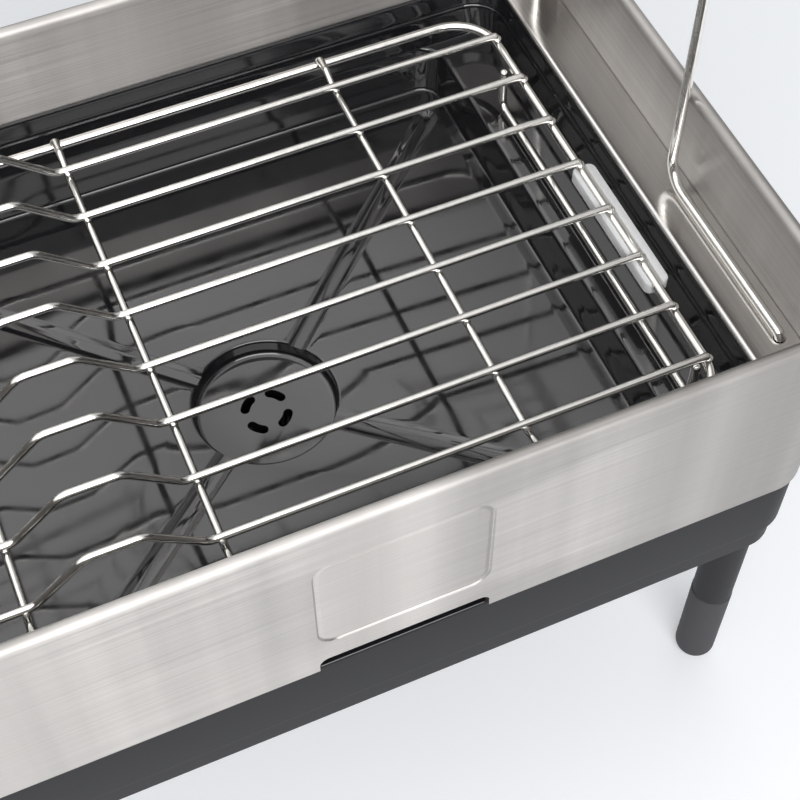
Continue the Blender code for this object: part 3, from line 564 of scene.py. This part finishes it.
def steel_band(materials):
    """Band with a rolled lip, a bottom hem, a sunk front panel and the finger notch."""
    lip_z = BAND_TOP - LIP_RADIUS
    profile = [(0, BAND_BOTTOM + HEM_EASE)]
    profile += arc((-LIP_RADIUS, lip_z), LIP_RADIUS, 0, math.pi, LIP_STEPS)
    tip = -2 * LIP_RADIUS
    profile += [(tip, lip_z - LIP_RETURN), (tip + BAND_WALL, lip_z - LIP_RETURN)]
    profile += arc((-LIP_RADIUS, lip_z), LIP_RADIUS - BAND_WALL, math.pi, 0, CURL_STEPS)
    profile += [(-BAND_WALL, BAND_BOTTOM + BAND_WALL), (-HEM_WIDTH, BAND_BOTTOM + BAND_WALL)]
    profile += [(-HEM_WIDTH, BAND_BOTTOM), (-HEM_EASE, BAND_BOTTOM)]
    band = add_piece("band_sheet", band_loft("band_sheet", profile), "base",
                     materials["brushed_steel"], ("steel_band",))
    front = -HALF_DEPTH
    wide, tall = PANEL_HALF
    levels = [(front - CUT_OVERRUN, 0.0), (front, 0.0)]
    inset, depth = 0.0, 0.0
    for width, change in PANEL_BORDER:
        for step in range(1, PANEL_STEPS + 1):
            share = step / PANEL_STEPS
            drop = change * share * share * (3 - 2 * share)
            levels.append((front + depth + drop, inset + width * share))
        inset, depth = inset + width, depth + change
    sections = []
    for level, inset in levels:
        outline = rounded_rectangle(wide - inset, tall - inset, PANEL_CORNER - inset)
        sections.append((level, [(PANEL_CENTRE[0] + x, PANEL_CENTRE[1] + z) for x, z in outline]))
    sunk = prism("panel", sections)
    notch = [(PANEL_CENTRE[0] + x, BAND_BOTTOM + z)
             for x, z in rounded_rectangle(wide, NOTCH_HEIGHT, NOTCH_CORNER, CURL_STEPS)]
    hole = prism("notch", ((front - CUT_OVERRUN, notch), (front + HEM_WIDTH + CUT_OVERRUN, notch)))
    carve(band, (("DIFFERENCE", sunk), ("DIFFERENCE", hole)))
    low = BAND_BOTTOM - GAP
    strip = []
    for rise, inset in STRIP_LEVELS:
        outline = rounded_rectangle(wide - GAP - inset, STRIP_HALF - inset, STRIP_CORNER - inset)
        strip.append((low + rise, [(PANEL_CENTRE[0] + x, front + STRIP_INSET + y) for x, y in outline]))
    add_piece("notch_strip", prism("notch_strip", strip, axis="Z"), "base",
              materials["gloss_black_plastic"])


def side_ledges(materials):
    """Steel ledges at the ends, each with a curled inner edge and two foot holes."""
    outer_x = HALF_LENGTH - BAND_WALL - GAP
    curl = (LEDGE_INNER + LEDGE_CURL, LEDGE_TOP - LEDGE_CURL)
    up, down = math.pi / 2, 3 * math.pi / 2
    outline = [(outer_x, LEDGE_TOP)] + arc(curl, LEDGE_CURL, up, down, LEDGE_STEPS)
    outline += arc(curl, LEDGE_CURL / 2, down, up, CURL_STEPS) + [(outer_x, LEDGE_TOP - LEDGE_WALL)]
    inset = BAND_WALL + GAP
    plan = (HALF_LENGTH - inset, HALF_DEPTH - inset, BODY_CORNER - inset)
    tier_lo, tier_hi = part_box("tier_side_right")
    foot_x = (tier_lo[0] + tier_hi[0]) / 2
    foot_ys = (tier_lo[1] + FRAME_WIRE, tier_hi[1] - FRAME_WIRE)
    low, high = LEDGE_TOP - 4 * LEDGE_CURL, LEDGE_TOP + 2 * LEDGE_CURL
    for side, sign in (("left", -1), ("right", 1)):
        drawn = [(sign * x, z) for x, z in outline]
        sheet = prism("ledge", ((-HALF_DEPTH, drawn), (HALF_DEPTH, drawn)))
        ledge = add_piece(f"{side}_ledge_sheet", sheet, "base",
                          materials["ledge_steel"], (f"{side}_ledge",))
        tools = [("INTERSECT", plan_loft("plan", ((*plan, low), (*plan, high))))]
        for foot_y in foot_ys:
            profile = ((0, low), (FOOT_HOLE_RADIUS, low), (FOOT_HOLE_RADIUS, high), (0, high))
            hole = turned("hole", profile, HOLE_STEPS, (sign * foot_x, foot_y))
            tools.append(("DIFFERENCE", hole))
        carve(ledge, tools)


def base_frame(materials):
    """Stepped skirt with its inner shelf and the four leg sockets."""
    top = BAND_BOTTOM - GAP
    outer = -SKIRT_INSET
    lower = outer - SKIRT_STEP_DEPTH
    inner = lower - SKIRT_LOWER_WALL
    corners = [(outer, top), (outer, SKIRT_STEP), (lower, SKIRT_STEP - SKIRT_STEP_DEPTH),
               (lower, SKIRT_BOTTOM), (inner, SKIRT_BOTTOM), (inner, SHELF_TOP - SHELF_WALL),
               (-SHELF_REACH, SHELF_TOP - SHELF_WALL), (-SHELF_REACH, SHELF_TOP),
               (outer - SKIRT_WALL, SHELF_TOP), (outer - SKIRT_WALL, top)]
    profile = soften(corners, SKIRT_ROUND, closed=True)
    skirt = add_piece("base_skirt", band_loft("base_skirt", profile), "base",
                      materials["matte_grey_plastic"], ("base_frame",))
    low, high = SKIRT_BOTTOM + BOSS_LIFT, SHELF_TOP - SHELF_WALL / 2
    start, bore, end = low - BOSS_LIFT, LEG_RADIUS + GAP, SKIRT_BOTTOM + SOCKET_DEPTH
    tools = []
    for sign_x in (-1, 1):
        for sign_y in (-1, 1):
            place = (sign_x * LEG_X, sign_y * LEG_Y)
            boss = ((0, low), (BOSS_RADIUS, low), (BOSS_RADIUS, high), (0, high))
            hole = ((0, start), (bore, start), (bore, end), (0, end))
            tools.append(("UNION", turned("boss", boss, BOSS_STEPS, place)))
            tools.append(("DIFFERENCE", turned("bore", hole, BOSS_STEPS, place)))
    carve(skirt, tools)


def legs_and_caps(materials):
    """Round legs, each with its rubber cap."""
    top = SKIRT_BOTTOM + SOCKET_DEPTH - GAP
    shoulder = CAP_HEIGHT + GAP
    tenon = shoulder - TENON_LENGTH
    leg = [(0, tenon), (TENON_RADIUS, tenon), (TENON_RADIUS, shoulder),
           (LEG_RADIUS - LEG_EASE, shoulder), (LEG_RADIUS, shoulder + LEG_EASE), (LEG_RADIUS, top),
           (0, top)]
    sole = arc((CAP_RADIUS - CAP_ROUND, CAP_ROUND), CAP_ROUND, -math.pi / 2, 0, SOLE_STEPS)
    bottom = CAP_HEIGHT - CAP_BORE_DEPTH
    cap = [(0, 0)] + sole + [(CAP_RADIUS, CAP_HEIGHT - CAP_EASE), (CAP_RADIUS - CAP_EASE, CAP_HEIGHT),
                             (CAP_BORE, CAP_HEIGHT), (CAP_BORE, bottom), (0, bottom)]
    for side, sign_x in (("left", -1), ("right", 1)):
        for end, sign_y in (("front", -1), ("back", 1)):
            place = (sign_x * LEG_X, sign_y * LEG_Y)
            add_piece(f"leg_tube_{end}_{side}", turned("leg", leg, LEG_STEPS, place), "base",
                      materials["matte_grey_plastic"], (f"leg_{end}_{side}",))
            add_piece(f"cap_{end}_{side}", turned("cap", cap, LEG_STEPS, place), "base",
                      materials["dark_rubber"], (f"foot_cap_{end}_{side}",))


def tray_sections():
    """Rounded rectangles up the tray's outside, over its rim and down its inside."""
    wall, foot, corner, draft, ease = TRAY_WALL, TRAY_SLOPE, TRAY_CORNER, TRAY_DRAFT, TRAY_EASE
    lower_y = HALF_DEPTH - HEM_WIDTH - 2 * GAP
    rim_y = HALF_DEPTH - BAND_WALL - 2 * GAP
    rim_x = LEDGE_INNER + TRAY_RIM_OFFSET
    seat_x = LEDGE_INNER - SEAT_INSET
    flange_x = TRAY_FLANGE_X
    rim_corner = BODY_CORNER - BAND_WALL - 2 * GAP
    floor_y = lower_y - draft - foot
    step = TRAY_STEP
    step_top = TRAY_TOP - TRAY_STEP_DROP
    floor_x = FLOOR_HALF[0]
    outside = [
        (floor_x + foot, floor_y + foot, corner + foot, FLOOR_TOP - TRAY_FLOOR_WALL),
        (floor_x + foot + draft, lower_y - ease, corner + foot, SEAT_TOP - wall),
        (seat_x + wall, lower_y, corner + foot + draft, SEAT_TOP - wall),
        (rim_x - step + wall, rim_y - step, rim_corner - step, step_top - step - wall / 2),
        (rim_x + wall, rim_y - ease, rim_corner, step_top - wall / 2),
        (rim_x + wall, rim_y - ease, rim_corner, TRAY_TOP - wall),
        (flange_x, rim_y, rim_corner, TRAY_TOP - wall),
    ]
    inside = [
        (flange_x, rim_y, rim_corner, TRAY_TOP),
        (rim_x, rim_y - wall, rim_corner - wall, TRAY_TOP),
        (rim_x, rim_y - wall, rim_corner - wall, step_top),
        (rim_x - step, rim_y - wall - step, rim_corner - wall - step, step_top - step),
        (seat_x, lower_y - wall, corner + draft, SEAT_TOP),
        (floor_x + draft, lower_y - wall - ease, corner, SEAT_TOP),
        (floor_x, floor_y, corner, FLOOR_TOP),
    ]
    margin = TRAY_FLOOR_MARGIN
    floor_cap = (floor_x - margin, floor_y - margin, corner - margin, FLOOR_TOP)
    smooth_inside = soften(inside + [floor_cap], TRAY_ROUND, steps=TRAY_ROUND_STEPS)
    return outside + smooth_inside


def drip_tray(materials):
    """Glossy tray with channels and a round slotted drain."""
    tray = add_piece("tray_shell", plan_loft("tray_shell", tray_sections()), "base",
                     materials["gloss_black_plastic"], ("drip_tray",))
    centre = (0, DRAIN_Y)
    inner, outer = FLOOR_TOP - DRAIN_OVERLAP, DRAIN_RADIUS + DRAIN_WALL
    boss = ((0, GRATE_BOTTOM), (outer, GRATE_BOTTOM), (outer, inner), (0, inner))
    lip, edge = DRAIN_RADIUS + DRAIN_RIM_ROUND, FLOOR_TOP - DRAIN_RIM_ROUND
    rim = [(lip - x, z) for x, z in arc((0, edge), DRAIN_RIM_ROUND, math.pi / 2, 0, EDGE_STEPS)]
    over = FLOOR_TOP + CUT_OVERRUN
    bend = (DRAIN_RADIUS - DRAIN_FILLET, DRAIN_FLOOR + DRAIN_FILLET)
    recess = [(0, DRAIN_FLOOR)] + arc(bend, DRAIN_FILLET, -math.pi / 2, 0, EDGE_STEPS)
    recess += [(DRAIN_RADIUS, edge)] + rim[::-1][1:] + [(lip, over), (0, over)]
    tools = [("UNION", turned("boss", boss, ROUND_STEPS, centre)),
             ("DIFFERENCE", turned("recess", recess, ROUND_STEPS, centre))]
    for slot in range(SLOT_COUNT):
        outline = slot_outline(2 * math.pi / SLOT_COUNT * (slot + 1 / 2))
        levels = ((GRATE_BOTTOM - CUT_OVERRUN, outline), (DRAIN_FLOOR + CUT_OVERRUN, outline))
        tools.append(("DIFFERENCE", prism("slot", levels, axis="Z")))
    for end_x in (-CHANNEL_END_X, CHANNEL_END_X):
        for end_y in CHANNEL_END_YS:
            tools.append(("DIFFERENCE", channel_tool(end_x, end_y - DRAIN_Y)))
    carve(tray, tools)


def slot_outline(turn):
    """Curved drain slot with round ends, centred on the given direction from the drain."""
    centre = (0, DRAIN_Y)
    start, end = turn - SLOT_HALF_ANGLE, turn + SLOT_HALF_ANGLE
    head = arc(centre, SLOT_RING, end, end, 1)[0]
    tail = arc(centre, SLOT_RING, start, start, 1)[0]
    outline = arc(centre, SLOT_RING + SLOT_ROUND, start, end, SMALL_STEPS)
    outline += arc(head, SLOT_ROUND, end, end + math.pi, SMALL_STEPS)[1:-1]
    outline += arc(centre, SLOT_RING - SLOT_ROUND, end, start, SMALL_STEPS)
    return outline + arc(tail, SLOT_ROUND, start + math.pi, start + 2 * math.pi, SMALL_STEPS)[1:-1]


def channel_tool(end_x, end_y):
    """Shallow groove with soft sloping sides, from the drain to a place given from its centre."""
    length, angle = math.hypot(end_x, end_y), math.atan2(end_y, end_x)
    sections = []
    for rise, half in CHANNEL_PROFILE:
        outline = [(CHANNEL_START, -half)]
        outline += arc((length, 0), half, -math.pi / 2, math.pi / 2, ARC_STEPS)
        outline.append((CHANNEL_START, half))
        turned_outline = [(x * math.cos(angle) - y * math.sin(angle),
                           DRAIN_Y + x * math.sin(angle) + y * math.cos(angle)) for x, y in outline]
        sections.append((FLOOR_TOP + rise, turned_outline))
    return prism("channel", sections, axis="Z")


def ring(half_x, half_y, radius, z, middle_y=0.0):
    """Centre line of a level wire ring."""
    return [(x, middle_y + y, z) for x, y in rounded_rectangle(half_x, half_y, radius, RING_STEPS)]


def lower_rack(materials):
    """Lower rack's wires, drawn along the CAD wires' own lines."""
    wire = materials["polished_wire"]
    lo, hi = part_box("rack_rim")
    thick = (hi[2] - lo[2]) / 2
    rim_x, rim_y = hi[0] - thick, hi[1] - thick
    wire_piece("rack_rim_wire", ring(rim_x, rim_y, RACK_CORNER, lo[2] + thick), thick, "rack",
               "rack_rim", wire, closed=True)
    middle_lo, middle_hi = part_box("cross_wire_middle")
    start = (middle_lo[0] + middle_hi[0]) / 2 - HUMP_START
    top = start - HUMP_RUN
    beads = []
    wire_ys = []
    for index in range(PLATE_WIRES):
        node = f"plate_wire_{index + 1}"
        lo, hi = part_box(node)
        radius = (hi[1] - lo[1]) / 2
        y, z = lo[1] + radius, lo[2] + radius
        high = hi[2] - radius
        corners = [(hi[0], y, z), (start, y, z), (top, y, high), (top - HUMP_TOP, y, high),
                   (top - HUMP_FOOT, y, z), (lo[0], y, z)]
        path = bent_path(corners, [HUMP_BEND] * 4)
        wire_piece(f"rack_wire_{index + 1}", path, radius, "rack", node, wire)
        wire_ys.append(y)
        contact = z - radius
        beads += [((sign * rim_x, y, contact), END_BEAD) for sign in (-1, 1)]
    foot = wire_ys[-1] + CROSS_REACH
    for label in ("left", "middle", "right"):
        node = f"cross_wire_{label}"
        lo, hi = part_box(node)
        radius = (hi[0] - lo[0]) / 2
        x, low, high = lo[0] + radius, lo[2] + radius, hi[2] - radius
        corners = [(x, lo[1], high), (x, -foot - CROSS_RUN, high), (x, -foot, low), (x, foot, low),
                   (x, foot + CROSS_RUN, high), (x, hi[1], high)]
        path = bent_path(corners, [CROSS_BEND] * 4)
        wire_piece(f"rack_cross_{label}", path, radius, "rack", node, wire)
        beads += [((x, y, contact), CROSS_BEAD) for y in wire_ys]
        beads += [((x, sign * rim_y, contact), END_BEAD) for sign in (-1, 1)]
    add_piece("rack_welds", bead_mesh("rack_welds", beads), "rack", wire)
    for side in ("left", "right"):
        node = f"{side}_foot_rail"
        lo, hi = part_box(node)
        radius = (hi[0] - lo[0]) / 2
        x, z = lo[0] + radius, lo[2] + radius
        corners = [(x, lo[1] + radius, hi[2]), (x, lo[1] + radius, z), (x, hi[1] - radius, z),
                   (x, hi[1] - radius, hi[2])]
        path = bent_path(corners, [RAIL_BEND] * 2)
        wire_piece(f"rack_rail_{side}", path, radius, "rack", node, wire)
        end_clip(side, materials)


def bead_mesh(name, beads):
    """Small flattened weld beads, each given by its middle and its half sizes."""
    verts, faces = [], []
    pattern = bridge(BEAD_ROWS - 1, BEAD_STEPS, False)
    for middle, half in beads:
        first = len(verts)
        for row in range(1, BEAD_ROWS):
            tilt = math.pi * row / BEAD_ROWS
            wide = math.sin(tilt)
            for step in range(BEAD_STEPS):
                turn = 2 * math.pi * step / BEAD_STEPS
                unit = (wide * math.cos(turn), wide * math.sin(turn), math.cos(tilt))
                verts.append(tuple(m + h * u for m, h, u in zip(middle, half, unit)))
        faces += [tuple(first + point for point in face) for face in pattern]
    return finish_mesh(name, verts, faces)


def end_clip(side, materials):
    """White channel clip on the rack's rim, with rounded ends."""
    node = f"{side}_clip"
    lo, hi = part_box(node)
    sign = 1 if side == "right" else -1
    rim_lo, rim_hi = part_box("rack_rim")
    rim_x = sign * (rim_hi[0] - FRAME_WIRE)
    rim_z = (rim_lo[2] + rim_hi[2]) / 2
    centre_x, centre_y = (lo[0] + hi[0]) / 2, (lo[1] + hi[1]) / 2
    half_x, half_y = (hi[0] - lo[0]) / 2, (hi[1] - lo[1]) / 2
    sections = []
    for base, levels in ((lo[2], CLIP_FOOT), (hi[2], CLIP_HEAD)):
        for rise, inset in levels:
            plan = (half_x - inset, half_y - inset, CLIP_CORNER - inset, SMALL_STEPS)
            points = [(centre_x + x, centre_y + y) for x, y in rounded_rectangle(*plan)]
            sections.append((base + rise, points))
    clip = add_piece(f"rim_clip_{side}", prism("rim_clip", sections, axis="Z"), "rack",
                     materials["white_plastic"], (node,))
    outline = [(CLIP_GROOVE, CLIP_GROOVE_HEIGHT), (-CLIP_GROOVE, CLIP_GROOVE_HEIGHT)]
    outline += arc((0, 0), CLIP_GROOVE, math.pi, 2 * math.pi, ARC_STEPS)
    groove = [(rim_x + x, rim_z + z) for x, z in outline]
    tool = prism("groove", ((lo[1] - CUT_OVERRUN, groove), (hi[1] + CUT_OVERRUN, groove)))
    carve(clip, (("DIFFERENCE", tool),))


def upper_tier(materials):
    """Upper tier's frames and basket, drawn along the CAD wires' own lines."""
    wire = materials["polished_wire"]
    for side in ("left", "right"):
        node = f"tier_side_{side}"
        lo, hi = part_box(node)
        radius = (hi[0] - lo[0]) / 2
        x, plug, top = lo[0] + radius, lo[2], hi[2] - radius
        foot = LEDGE_TOP + GAP + radius
        front, back = lo[1] + radius, hi[1] - radius
        corners = [(x, front, plug), (x, front, foot), (x, TIER_FRONT, foot), (x, TIER_FRONT, top),
                   (x, back, top), (x, back, plug)]
        wire_piece(f"tier_frame_{side}", bent_path(corners, TIER_BENDS), radius, "tier", node, wire)
    lo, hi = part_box("tier_rim")
    thick = (hi[2] - lo[2]) / 2
    middle = (lo[1] + hi[1]) / 2
    rim_x, rim_y, rim_z = hi[0] - thick, (hi[1] - lo[1]) / 2 - thick, lo[2] + thick
    wire_piece("tier_rim_wire", ring(rim_x, rim_y, TIER_CORNER, rim_z, middle), thick, "tier",
               "tier_rim", wire, closed=True)
    for index in range(TIER_CROSS_WIRES):
        node = f"tier_cross_wire_{index + 1}"
        lo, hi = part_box(node)
        radius = (hi[0] - lo[0]) / 2
        x, low = lo[0] + radius, lo[2] + radius
        reach = rim_y - thick - GAP - radius
        corners = [(x, middle - reach, rim_z), (x, middle - reach + BASKET_SLOPE, low),
                   (x, middle + reach - BASKET_SLOPE, low), (x, middle + reach, rim_z)]
        path = bent_path(corners, [BASKET_BEND] * 2)
        wire_piece(f"basket_cross_{index + 1}", path, radius, "tier", node, wire)
    for index in range(TIER_FLOOR_WIRES):
        node = f"tier_floor_wire_{index + 1}"
        lo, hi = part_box(node)
        radius = (hi[1] - lo[1]) / 2
        y, low = lo[1] + radius, lo[2] + radius
        reach = rim_x - thick - GAP - radius
        corners = [(-reach, y, rim_z), (-reach + BASKET_SLOPE, y, low), (reach - BASKET_SLOPE, y, low),
                   (reach, y, rim_z)]
        path = bent_path(corners, [BASKET_BEND] * 2)
        wire_piece(f"basket_floor_{index + 1}", path, radius, "tier", node, wire)


def carried_over(materials):
    """Finish of the CAD pieces that stay in view."""
    for node, slot in CARRIED_OVER:
        item = NODES[node]
        for index in range(max(1, len(item.material_slots))):
            if index < len(item.material_slots):
                item.material_slots[index].material = materials[slot]
            else:
                item.data.materials.append(materials[slot])


def floor():
    """Plain pale floor that keeps the rack's shadow and fades to white far away."""
    mesh = bpy.data.meshes.new("floor")
    corners = [(x * FLOOR_REACH, y * FLOOR_REACH, 0) for x, y in ((-1, -1), (1, -1), (1, 1), (-1, 1))]
    mesh.from_pydata(corners, [], [(0, 1, 2, 3)])
    item = bpy.data.objects.new("floor", mesh)
    bpy.context.collection.objects.link(item)
    made = bpy.data.materials.new("pale_floor")
    made.use_nodes = True
    tree = made.node_tree
    shader = tree.nodes["Principled BSDF"]
    shader.inputs["Base Color"].default_value = FLOOR_COLOUR
    shader.inputs["Roughness"].default_value = FLOOR_ROUGHNESS
    glow = tree.nodes.new("ShaderNodeEmission")
    glow.inputs["Color"].default_value = FLOOR_GLOW_COLOUR
    place = tree.nodes.new("ShaderNodeTexCoord")
    far = tree.nodes.new("ShaderNodeVectorMath")
    far.operation = "LENGTH"
    tree.links.new(place.outputs["Object"], far.inputs[0])
    path = tree.nodes.new("ShaderNodeLightPath")
    shares = []
    for ray, numbers in (("Is Camera Ray", FLOOR_FADE), ("Is Glossy Ray", FLOOR_MIRRORED)):
        level = mapped(tree, far.outputs["Value"], numbers)
        shares.append(combined(tree, "MULTIPLY", path.outputs[ray], level))
    tree.links.new(combined(tree, "ADD", *shares), glow.inputs["Strength"])
    both = tree.nodes.new("ShaderNodeAddShader")
    tree.links.new(shader.outputs["BSDF"], both.inputs[0])
    tree.links.new(glow.outputs["Emission"], both.inputs[1])
    tree.links.new(both.outputs[0], tree.nodes["Material Output"].inputs["Surface"])
    mesh.materials.append(made)


def world():
    """Soft grey surroundings, white to the camera and brighter overhead in reflections."""
    made = bpy.data.worlds.new("studio")
    bpy.context.scene.world = made
    made.use_nodes = True
    tree = made.node_tree
    tree.nodes.clear()
    path = tree.nodes.new("ShaderNodeLightPath")
    lights = {}
    for name, colour in (("plain", SURROUNDINGS), ("glossy", (1, 1, 1, 1)), ("seen", (1, 1, 1, 1))):
        lights[name] = tree.nodes.new("ShaderNodeBackground")
        lights[name].inputs["Color"].default_value = colour
    direction = tree.nodes.new("ShaderNodeTexCoord")
    parts = tree.nodes.new("ShaderNodeSeparateXYZ")
    tree.links.new(direction.outputs["Generated"], parts.inputs["Vector"])
    along = tree.nodes.new("ShaderNodeVectorMath")
    along.operation = "DOT_PRODUCT"
    along.inputs[1].default_value = SKY_DIRECTION
    tree.links.new(direction.outputs["Generated"], along.inputs[0])
    rise = mapped(tree, parts.outputs["Z"], SKY_RISE)
    shade, gain = (mapped(tree, along.outputs["Value"], numbers) for numbers in (SKY_SHADE, SKY_ACROSS))
    across = combined(tree, "ADD", shade, gain)
    level = combined(tree, "MULTIPLY", rise, across)
    level = combined(tree, "MAXIMUM", level, mapped(tree, parts.outputs["Z"], SKY_HORIZON))
    tree.links.new(level, lights["glossy"].inputs["Strength"])
    under = lights["plain"].outputs["Background"]
    for ray, name in (("Is Glossy Ray", "glossy"), ("Is Camera Ray", "seen")):
        choose = tree.nodes.new("ShaderNodeMixShader")
        tree.links.new(path.outputs[ray], choose.inputs["Fac"])
        tree.links.new(under, choose.inputs[1])
        tree.links.new(lights[name].outputs["Background"], choose.inputs[2])
        under = choose.outputs["Shader"]
    output = tree.nodes.new("ShaderNodeOutputWorld")
    tree.links.new(under, output.inputs["Surface"])


def lamp(name, place, size, power):
    """Soft square lamp that points at the rack."""
    data = bpy.data.lights.new(name, "AREA")
    data.shape = "SQUARE"
    data.size = size
    data.energy = power
    item = bpy.data.objects.new(name, data)
    bpy.context.collection.objects.link(item)
    item.location = place
    item.rotation_euler = (Vector(LAMP_TARGET) - Vector(place)).to_track_quat("-Z", "Y").to_euler()


def camera():
    """Camera at the photograph's viewing angle."""
    data = bpy.data.cameras.new("camera")
    data.sensor_width = SENSOR_WIDTH
    data.lens = CAMERA_LENS
    data.clip_start, data.clip_end = CAMERA_CLIP
    item = bpy.data.objects.new("camera", data)
    bpy.context.collection.objects.link(item)
    aim = Matrix.Rotation(-math.radians(CAMERA_YAW), 3, "Z")
    aim = aim @ Matrix.Rotation(math.pi / 2 - math.radians(CAMERA_PITCH), 3, "X")
    aim = aim @ Matrix.Rotation(math.radians(CAMERA_ROLL), 3, "Z")
    item.rotation_euler = aim.to_euler()
    item.location = CAMERA_PLACE
    bpy.context.scene.camera = item


def main():
    """Build the looks, the stage and the camera."""
    materials = make_materials()
    steel_band(materials)
    side_ledges(materials)
    base_frame(materials)
    legs_and_caps(materials)
    drip_tray(materials)
    lower_rack(materials)
    upper_tier(materials)
    carried_over(materials)
    floor()
    world()
    for name, place, size, power in LAMPS:
        lamp(name, place, size, power)
    camera()
    bpy.context.scene.view_settings.view_transform = "Standard"


main()
